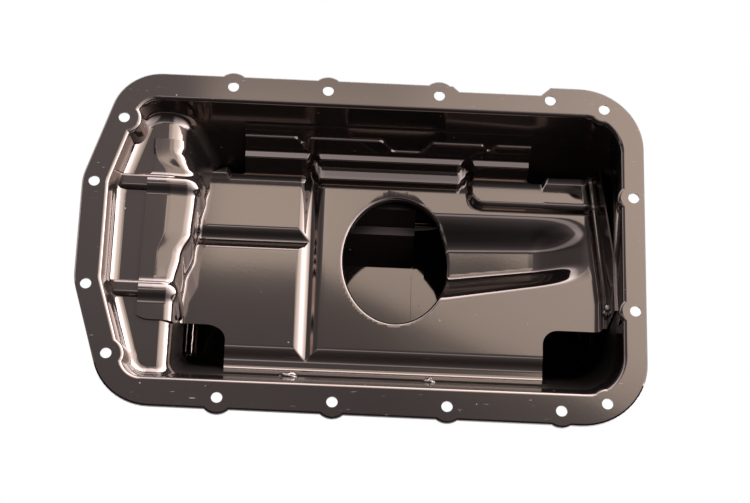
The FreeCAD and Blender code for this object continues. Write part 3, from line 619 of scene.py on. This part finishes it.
def rounded_outline(corners):
    """Points of a closed outline whose corners are rounded."""
    points = []
    count = len(corners)
    for i, (x, y, radius) in enumerate(corners):
        corner = Vector((x, y))
        if radius == 0:
            points.append(corner)
            continue
        before = (Vector(corners[i - 1][:2]) - corner).normalized()
        after = (Vector(corners[(i + 1) % count][:2]) - corner).normalized()
        half = before.angle(after) / 2
        reach = radius / math.tan(half)
        centre = corner + (before + after).normalized() * (radius / math.sin(half))
        begin, turn = arc_between(corner + before * reach - centre, corner + after * reach - centre)
        steps = max(3, round(radius))
        for k in range(steps + 1):
            angle = begin + turn * k / steps
            points.append(centre + Vector((math.cos(angle), math.sin(angle))) * radius)
    return points


def is_inside(point, outline):
    """True for a point inside a closed outline."""
    inside = False
    for one, two in zip(outline, outline[1:] + outline[:1]):
        if (one.y > point.y) != (two.y > point.y):
            if point.x < one.x + (two.x - one.x) * (point.y - one.y) / (two.y - one.y):
                inside = not inside
    return inside


def nearest_on(point, outline):
    """Nearest point of a closed outline."""
    best = None
    for one, two in zip(outline, outline[1:] + outline[:1]):
        run = two - one
        share = min(max((point - one).dot(run) / run.length_squared, 0), 1)
        there = one + run * share
        if best is None or (there - point).length_squared < (best - point).length_squared:
            best = there
    return best


def rolled_lip(vertices, faces, edge, middle, half, roll):
    """Adds the lip that rolls down from the hole's edge and hangs straight below."""
    ring = [number for number, arm in edge]
    for step in range(1, LIP_STEPS + 2):
        turn = min(step, LIP_STEPS) * math.pi / (2 * LIP_STEPS)
        lower = []
        for number, arm in edge:
            across = arm.x * (1 - roll * math.sin(turn) / half.x)
            upward = arm.y * (1 - roll * math.sin(turn) / half.y)
            inner = Vector((across, upward))
            level = vertices[number].z
            drop = max(level - PLATE + LIP_UNDER_PLATE, LIP_LEAST)
            bend = min(roll, drop) * (1 - math.cos(turn)) if step <= LIP_STEPS else drop
            lower.append(len(vertices))
            vertices.append(Vector((middle.x + inner.x, middle.y + inner.y, level - bend)))
        for k in range(len(ring)):
            after = (k + 1) % len(ring)
            faces.append([ring[after], lower[after], lower[k], ring[k]])
        ring = lower


def baffle_sheet(sizes):
    """Upper face of the baffle as vertices and faces, with its rolled hole lip."""
    columns = graded(COLUMN_STEPS)
    rows = graded(ROW_STEPS)
    outline = rounded_outline(BAFFLE_OUTLINE)
    roll = sizes.lip_roll / MM
    middle = Vector(HOLE_MIDDLE)
    half = Vector([value + roll for value in HOLE_HALF])
    # For each place of the grid: is it in the sheet, where is it put, is it on the hole's edge
    places = {}
    for i, column in enumerate(columns):
        for j, row in enumerate(rows):
            place = Vector((column, row))
            arm = place - middle
            reach = math.hypot(arm.x / half.x, arm.y / half.y)
            if reach < 1:
                places[i, j] = (False, middle + arm / max(reach, 0.001), True)
            elif is_inside(place, outline):
                places[i, j] = (True, place, False)
            else:
                places[i, j] = (False, None, False)
    vertices = []
    numbers = {}
    faces = []
    for i in range(len(columns) - 1):
        for j in range(len(rows) - 1):
            corners = [(i, j), (i + 1, j), (i + 1, j + 1), (i, j + 1)]
            if not any(places[corner][0] for corner in corners):
                continue
            for corner in corners:
                if corner not in numbers:
                    place = places[corner][1]
                    if place is None:
                        place = nearest_on(Vector((columns[corner[0]], rows[corner[1]])), outline)
                    numbers[corner] = len(vertices)
                    vertices.append(baffle_point(place.x, place.y, sizes))
            faces.append([numbers[corner] for corner in corners])
    edge = [(numbers[corner], places[corner][1] - middle) for corner in numbers if places[corner][2]]
    edge.sort(key=lambda item: math.atan2(item[1].y / half.y, item[1].x / half.x))
    rolled_lip(vertices, faces, edge, middle, half, roll)
    return [framed(vertex) for vertex in vertices], faces


class PanSettings(bpy.types.PropertyGroup):
    paint: FloatVectorProperty(
        name="Paint", description="Colour of the paint's sheen", subtype="COLOR", size=4,
        default=linear("6c6059"))
    roughness: FloatProperty(
        name="Roughness", description="Roughness of the paint", default=0.055, subtype="FACTOR")
    sheet: FloatProperty(
        name="Sheet", description="Thickness of the baffle", default=0.0012, unit="LENGTH")
    groove_depth: FloatProperty(
        name="Groove depth", description="Depth of the grooves", default=0.004, unit="LENGTH")
    trough_depth: FloatProperty(
        name="Trough depth", description="Depth of the trough", default=0.015, unit="LENGTH")
    bead_height: FloatProperty(
        name="Bead height", description="Height of the beads", default=0.0036, unit="LENGTH")
    nose_radius: FloatProperty(
        name="Ledge edge", description="Radius of ledge edges", default=0.0011, unit="LENGTH")
    lip_roll: FloatProperty(
        name="Lip roll", description="Radius of the hole's rolled lip", default=0.0027, unit="LENGTH")


class PAN_OT_baffle(bpy.types.Operator):
    """Press the windage baffle as one fine smooth sheet"""
    bl_idname = "oil_pan.baffle"
    bl_label = "Baffle"

    def execute(self, context):
        sizes = context.scene.oil_pan
        mesh = bpy.data.meshes.new("baffle")
        points, faces = baffle_sheet(sizes)
        mesh.from_pydata(points, [], faces)
        mesh.validate()
        baffle = bpy.data.objects.new("baffle", mesh)
        context.collection.objects.link(baffle)
        bpy.ops.object.select_all(action="DESELECT")
        context.view_layer.objects.active = baffle
        baffle.select_set(True)
        thick = baffle.modifiers.new("sheet", "SOLIDIFY")
        thick.thickness = sizes.sheet
        thick.offset = -1
        bpy.ops.object.modifier_apply(modifier=thick.name)
        bpy.ops.object.shade_smooth_by_angle(angle=math.radians(SMOOTH_ANGLE))
        flat = baffle.modifiers.new("flat faces", "WEIGHTED_NORMAL")
        flat.keep_sharp = True
        bpy.ops.object.modifier_apply(modifier=flat.name)
        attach(baffle, "root")
        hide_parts("baffle_plate")
        baffle.data.materials.clear()
        baffle.data.materials.append(baked_paint("stoved_black_baffle", sizes.paint, sizes.roughness))
        return {"FINISHED"}


class PAN_OT_welds(bpy.types.Operator):
    """Lay the lumpy weld beads that hold the baffle's rim"""
    bl_idname = "oil_pan.welds"
    bl_label = "Weld beads"

    def execute(self, context):
        lumps = bpy.data.textures.new("lumps", "CLOUDS")
        lumps.noise_scale = LUMP_SIZE
        bpy.ops.object.select_all(action="DESELECT")
        bpy.ops.mesh.primitive_ico_sphere_add(subdivisions=5, radius=1)
        ball = context.object
        swell = ball.modifiers.new("lumps", "DISPLACE")
        swell.texture = lumps
        swell.strength = LUMP_HEIGHT
        bpy.ops.object.modifier_apply(modifier=swell.name)
        paint = baked_paint("stoved_black_welds", context.scene.oil_pan.paint, WELD_ROUGHNESS)
        ball.data.materials.append(paint)
        for number, (place, half, turn) in enumerate(WELD_BEADS, 1):
            weld = bpy.data.objects.new("weld_%d" % number, ball.data.copy())
            context.collection.objects.link(weld)
            move = Matrix.Translation(framed(place))
            size = Matrix.Diagonal([value * MM for value in half] + [1])
            weld.data.transform(move @ Matrix.Rotation(-turn, 4, "Z") @ size)
            weld.data.shade_smooth()
            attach(weld, "root")
        bpy.data.meshes.remove(ball.data)
        return {"FINISHED"}


class PAN_OT_dress(bpy.types.Operator):
    """Paint the pressed pieces and finish the fittings"""
    bl_idname = "oil_pan.dress"
    bl_label = "Paint and finish"

    def execute(self, context):
        settings = context.scene.oil_pan
        # This paint darkens the pan's walls as painted shade
        paint = baked_paint("stoved_black_paint_and_wall_shade", settings.paint, settings.roughness, with_wall_shade=True)
        for node in ("pan_shell", "baffle_plate", "drain_nut"):
            dress(node, paint)
        dress("drain_plug", turned_metal("zinc_plated_steel", "9c978a", 0.34))
        dress("drain_washer", turned_metal("soft_aluminium", "c3c3c4", 0.4))
        return {"FINISHED"}


class PAN_OT_stage(bpy.types.Operator):
    """Floor, soft light and camera"""
    bl_idname = "oil_pan.stage"
    bl_label = "Stage"

    def execute(self, context):
        bpy.ops.object.select_all(action="DESELECT")
        bpy.ops.mesh.primitive_plane_add(size=FLOOR_SIZE, location=(0, 0, cad_box[0][2]))
        floor = context.object
        floor.name = "floor"
        floor.data.materials.append(self.pale_floor())
        self.light(context)
        data = bpy.data.cameras.new("camera")
        data.sensor_width = SENSOR_WIDTH
        data.lens = LENS
        camera = bpy.data.objects.new("camera", data)
        context.collection.objects.link(camera)
        turn = Matrix((CAMERA_RIGHT, CAMERA_UP, CAMERA_BACK)).transposed()
        camera.matrix_world = Matrix.Translation(CAMERA_AT) @ turn.to_4x4()
        context.scene.camera = camera
        context.scene.view_settings.view_transform = "Standard"
        return {"FINISHED"}

    def pale_floor(self):
        """Matte floor that the camera sees as plain white."""
        material = bpy.data.materials.new("pale_floor")
        tree = empty_tree(material)
        path = add_node(tree, "ShaderNodeLightPath")
        seen = add_node(tree, "ShaderNodeMath", {"operation": "MAXIMUM"}, i0=path.outputs["Is Camera Ray"],
                        i1=path.outputs["Is Transmission Ray"]).outputs[0]
        matte = add_node(tree, "ShaderNodeBsdfDiffuse", {"Color": (FLOOR_TONE, FLOOR_TONE, FLOOR_TONE, 1)})
        white = add_node(tree, "ShaderNodeEmission", {"Strength": 1.0})
        mix = add_node(tree, "ShaderNodeMixShader", {}, Fac=seen, i1=matte.outputs[0], i2=white.outputs[0])
        add_node(tree, "ShaderNodeOutputMaterial", Surface=mix.outputs[0])
        return material

    def light(self, context):
        """World light by its angle from overhead to the back and to the right, in degrees and levels."""
        world = bpy.data.worlds.new("studio")
        context.scene.world = world
        tree = empty_tree(world)
        place = add_node(tree, "ShaderNodeTexCoord")
        axes = add_node(tree, "ShaderNodeSeparateXYZ", {}, Vector=place.outputs["Generated"])
        up = axes.outputs["Z"]
        angle = {"operation": "ARCTAN2"}
        back = add_node(tree, "ShaderNodeMath", angle, i0=axes.outputs["Y"], i1=up).outputs[0]
        side = add_node(tree, "ShaderNodeMath", angle, i0=axes.outputs["X"], i1=up).outputs[0]
        right = add_node(tree, "ShaderNodeMath", {"operation": "MAXIMUM", 1: 0.0}, i0=side).outputs[0]
        slant = add_node(tree, "ShaderNodeMath", {"operation": "MULTIPLY_ADD", 1: SLANT_SHARE}, i0=right,
                         i2=back).outputs[0]
        angles = {"back": back, "side": side, "slant": slant}
        level = {name: self.ramp(tree, angles[way], stops) for name, (way, stops) in LIGHT_RAMPS.items()}
        glows = []
        for colour, products in GLOWS:
            parts = []
            for first, *others in products:
                part = level[first]
                for name in others:
                    part = add_node(tree, "ShaderNodeMath", {"operation": "MULTIPLY"}, i0=part,
                                    i1=level[name]).outputs[0]
                parts.append(part)
            total = add_node(tree, "ShaderNodeMath", {"operation": "ADD"}, i0=parts[0], i1=parts[1])
            glow = add_node(tree, "ShaderNodeBackground", {"Color": linear(colour)},
                            Strength=total.outputs[0])
            glows.append(glow.outputs[0])
        both = add_node(tree, "ShaderNodeAddShader", {}, i0=glows[0], i1=glows[1])
        add_node(tree, "ShaderNodeOutputWorld", Surface=both.outputs[0])

    def ramp(self, tree, angle, stops):
        """Levels between stops of (degrees, level) along an angle."""
        low, high = stops[0][0], stops[-1][0]
        limits = {"From Min": math.radians(low), "From Max": math.radians(high)}
        share = add_node(tree, "ShaderNodeMapRange", limits, Value=angle)
        ramp = add_node(tree, "ShaderNodeValToRGB", {}, Fac=share.outputs["Result"])
        ramp.color_ramp.interpolation = "LINEAR"
        while len(ramp.color_ramp.elements) < len(stops):
            ramp.color_ramp.elements.new(0.5)
        for element, (degrees, value) in zip(ramp.color_ramp.elements, stops):
            element.position = (degrees - low) / (high - low)
            element.color = (value, value, value, 1)
        return ramp.outputs["Color"]


class PAN_PT_panel(bpy.types.Panel):
    """Sidebar panel that lists the steps"""
    bl_label = "Oil Pan"
    bl_idname = "PAN_PT_panel"
    bl_space_type = "VIEW_3D"
    bl_region_type = "UI"
    bl_category = "Oil Pan"

    def draw(self, context):
        self.layout.prop(context.scene.oil_pan, "paint")
        self.layout.prop(context.scene.oil_pan, "roughness")
        self.layout.operator("oil_pan.baffle")
        self.layout.operator("oil_pan.welds")
        self.layout.operator("oil_pan.dress")
        self.layout.operator("oil_pan.stage")


CLASSES = (PanSettings, PAN_OT_baffle, PAN_OT_welds, PAN_OT_dress, PAN_OT_stage, PAN_PT_panel)


def register():
    for each in CLASSES:
        bpy.utils.register_class(each)
    bpy.types.Scene.oil_pan = PointerProperty(type=PanSettings)


def unregister():
    del bpy.types.Scene.oil_pan
    for each in reversed(CLASSES):
        bpy.utils.unregister_class(each)


def main():
    register()
    bpy.ops.oil_pan.baffle()
    bpy.ops.oil_pan.welds()
    bpy.ops.oil_pan.dress()
    bpy.ops.oil_pan.stage()


if __name__ == "__main__":
    main()
